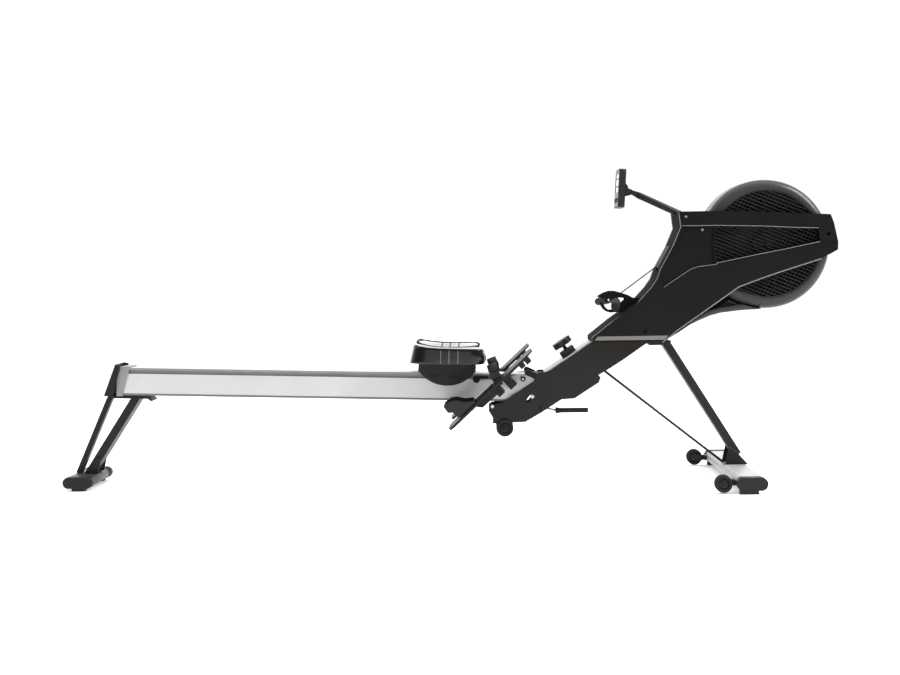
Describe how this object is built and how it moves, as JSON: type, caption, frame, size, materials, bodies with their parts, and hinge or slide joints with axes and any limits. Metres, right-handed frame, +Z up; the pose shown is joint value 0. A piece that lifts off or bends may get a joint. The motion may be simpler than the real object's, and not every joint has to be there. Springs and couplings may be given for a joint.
{
  "type": "rowing machine",
  "caption": "Folding air-resistance rowing machine with a sliding seat on a sloping rail, footplates, pull handle, monitor and fan housing.",
  "frame": {"origin": "centre of the overall box, on the floor", "axes": "+X along the rail toward the fan, +Y to the left of a person who sits facing the fan, +Z up"},
  "size_m": [2.3906, 0.5, 0.9756],
  "materials": {
    "anodised_rail": "satin anodised",
    "black_plastic": "fine moulded grain",
    "grey_plastic": "fine moulded grain",
    "black_rubber": "matte",
    "black_paint": "satin powder coat",
    "charcoal_paint": "satin powder coat",
    "grey_metallic": "metallic paint",
    "silver_paint": "metallic paint",
    "bolt_steel": "zinc plated",
    "roller_nylon": "machined nylon",
    "seat_leather": "glossy black synthetic leather",
    "wheel_rubber": "matte",
    "strap_webbing": "woven webbing",
    "gloss_shroud": "semi-gloss moulded",
    "light_trim": "grey edge",
    "fan_gloss": "polished moulded",
    "guard_steel": "black coated steel",
    "fan_aluminium": "cast and turned",
    "grip_foam": "soft closed-cell foam",
    "collar_grey": "moulded end collar",
    "matte_black": "fine texture",
    "monitor_plastic": "fine moulded grain",
    "screen_glass": "dark display window"
  },
  "bodies": {
    "frame": {"arm_beam": "silver_paint", "arm_bolts": "bolt_steel", "arm_cross_plate": "charcoal_paint", "arm_plate_left": "charcoal_paint", "arm_plate_right": "charcoal_paint", "belly_cover": "fan_gloss", "brace_rod": "black_paint", "fairlead_bracket": "light_trim", "fan_guard_left": "guard_steel", "fan_guard_right": "guard_steel", "fan_shell": "fan_gloss", "foot_straps": "strap_webbing", "footplate_left": "black_plastic", "footplate_right": "black_plastic", "front_foot_bar": "silver_paint", "front_foot_caps": "black_plastic", "front_leg": "charcoal_paint", "handle_cradle": "matte_black", "housing_bolts": "bolt_steel", "housing_wall": "matte_black", "knob_base": "black_plastic", "monitor_boom": "charcoal_paint", "pedal_brackets": "charcoal_paint", "pull_strap": "strap_webbing", "rubber_bumper": "black_rubber", "shroud_left": "gloss_shroud", "shroud_right": "gloss_shroud", "shroud_trim": "light_trim", "wheel_forks": "black_paint"},
    "rail": {"rail_beam": "anodised_rail", "rail_end_cap": "black_plastic", "rail_collar": "collar_grey", "rail_stops": "black_rubber", "rear_leg_plate": "black_paint", "rear_leg": "black_paint", "rear_brace": "black_paint", "rear_foot_bar": "grey_metallic", "rear_foot_caps": "black_plastic"},
    "seat": {"seat_carriage": "grey_plastic", "seat_bolts": "black_paint", "seat_board": "black_plastic", "seat_pad": "seat_leather"},
    "rollers_rear": {"seat_rollers_rear": "roller_nylon"},
    "rollers_front": {"seat_rollers_front": "roller_nylon"},
    "rest_wheels": {"mid_wheels": "wheel_rubber"},
    "lever": {"release_lever": "bolt_steel", "release_grip": "black_rubber"},
    "knob": {"star_knob": "black_plastic"},
    "wheel_left": {"front_wheel_left": "wheel_rubber"},
    "wheel_right": {"front_wheel_right": "wheel_rubber"},
    "heel_left": {"heel_cup_left": "grey_plastic"},
    "heel_right": {"heel_cup_right": "grey_plastic"},
    "fan": {"flywheel": "fan_aluminium"},
    "handle": {"handle_bar": "bolt_steel", "handle_grips": "grip_foam", "strap_clip": "black_plastic"},
    "drum": {"strap_drum": "roller_nylon"},
    "guide_roller": {"fairlead_roller": "roller_nylon"},
    "monitor": {"monitor_case": "monitor_plastic", "monitor_screen": "screen_glass"}
  },
  "joints": [
    {"name": "rail_fold", "type": "hinge", "parent": "frame", "child": "rail", "pos_m": [0.22125, 0, 0.324], "axis": [0, 1, 0], "range_deg": [0, 88]},
    {"name": "seat_slide", "type": "slide", "parent": "rail", "child": "seat", "axis": [-0.9996, 0, 0.027], "range_m": [0, 0.875]},
    {"name": "rollers_rear_spin", "type": "hinge", "parent": "seat", "child": "rollers_rear", "pos_m": [-0.06882, 0, 0.36216], "axis": [0, 1, 0], "continuous": true},
    {"name": "rollers_front_spin", "type": "hinge", "parent": "seat", "child": "rollers_front", "pos_m": [0.04713, 0, 0.35902], "axis": [0, 1, 0], "continuous": true},
    {"name": "rest_wheels_spin", "type": "hinge", "parent": "frame", "child": "rest_wheels", "pos_m": [0.16325, 0, 0.173], "axis": [0, 1, 0], "continuous": true},
    {"name": "lever_pull", "type": "hinge", "parent": "frame", "child": "lever", "pos_m": [0.28025, 0, 0.232], "axis": [0, 1, 0], "range_deg": [-14, 0], "stiffness_Nm_per_rad": 1.5, "springref_deg": 17.19},
    {"name": "knob_turn", "type": "hinge", "parent": "frame", "child": "knob", "pos_m": [0.36909, 0, 0.39686], "axis": [-0.5505, 0, 0.8348], "range_deg": [-170, 170]},
    {"name": "front_wheel_left_spin", "type": "hinge", "parent": "frame", "child": "wheel_left", "pos_m": [0.80125, 0.228, 0.029], "axis": [0, 1, 0], "continuous": true},
    {"name": "front_wheel_right_spin", "type": "hinge", "parent": "frame", "child": "wheel_right", "pos_m": [0.80125, -0.228, 0.029], "axis": [0, 1, 0], "continuous": true},
    {"name": "heel_left_slide", "type": "slide", "parent": "frame", "child": "heel_left", "axis": [0.7314, 0, 0.682], "range_m": [-0.02, 0.06]},
    {"name": "heel_right_slide", "type": "slide", "parent": "frame", "child": "heel_right", "axis": [0.7314, 0, 0.682], "range_m": [-0.02, 0.06]},
    {"name": "fan_spin", "type": "hinge", "parent": "frame", "child": "fan", "pos_m": [0.97825, 0, 0.736], "axis": [0, 1, 0], "continuous": true},
    {"name": "handle_pull", "type": "slide", "parent": "frame", "child": "handle", "axis": [-1, 0, 0], "range_m": [0, 1.15], "stiffness_N_per_m": 20, "springref_m": -0.5, "deforming": ["pull_strap"]},
    {"name": "drum_spin", "type": "hinge", "parent": "frame", "child": "drum", "pos_m": [0.74025, 0, 0.64], "axis": [0, 1, 0], "continuous": true},
    {"name": "guide_roller_spin", "type": "hinge", "parent": "frame", "child": "guide_roller", "pos_m": [0.66725, 0, 0.672], "axis": [0, 1, 0], "continuous": true},
    {"name": "monitor_tilt", "type": "hinge", "parent": "frame", "child": "monitor", "pos_m": [0.57125, 0, 0.904], "axis": [0, 1, 0], "range_deg": [-15, 25]}
  ],
  "couplings": [
    {"joint": "rollers_rear_spin", "follows": "seat_slide", "rad_per_m": -66.667},
    {"joint": "rollers_front_spin", "follows": "seat_slide", "rad_per_m": -66.667},
    {"joint": "drum_spin", "follows": "handle_pull", "rad_per_m": -30.2}
  ]
}
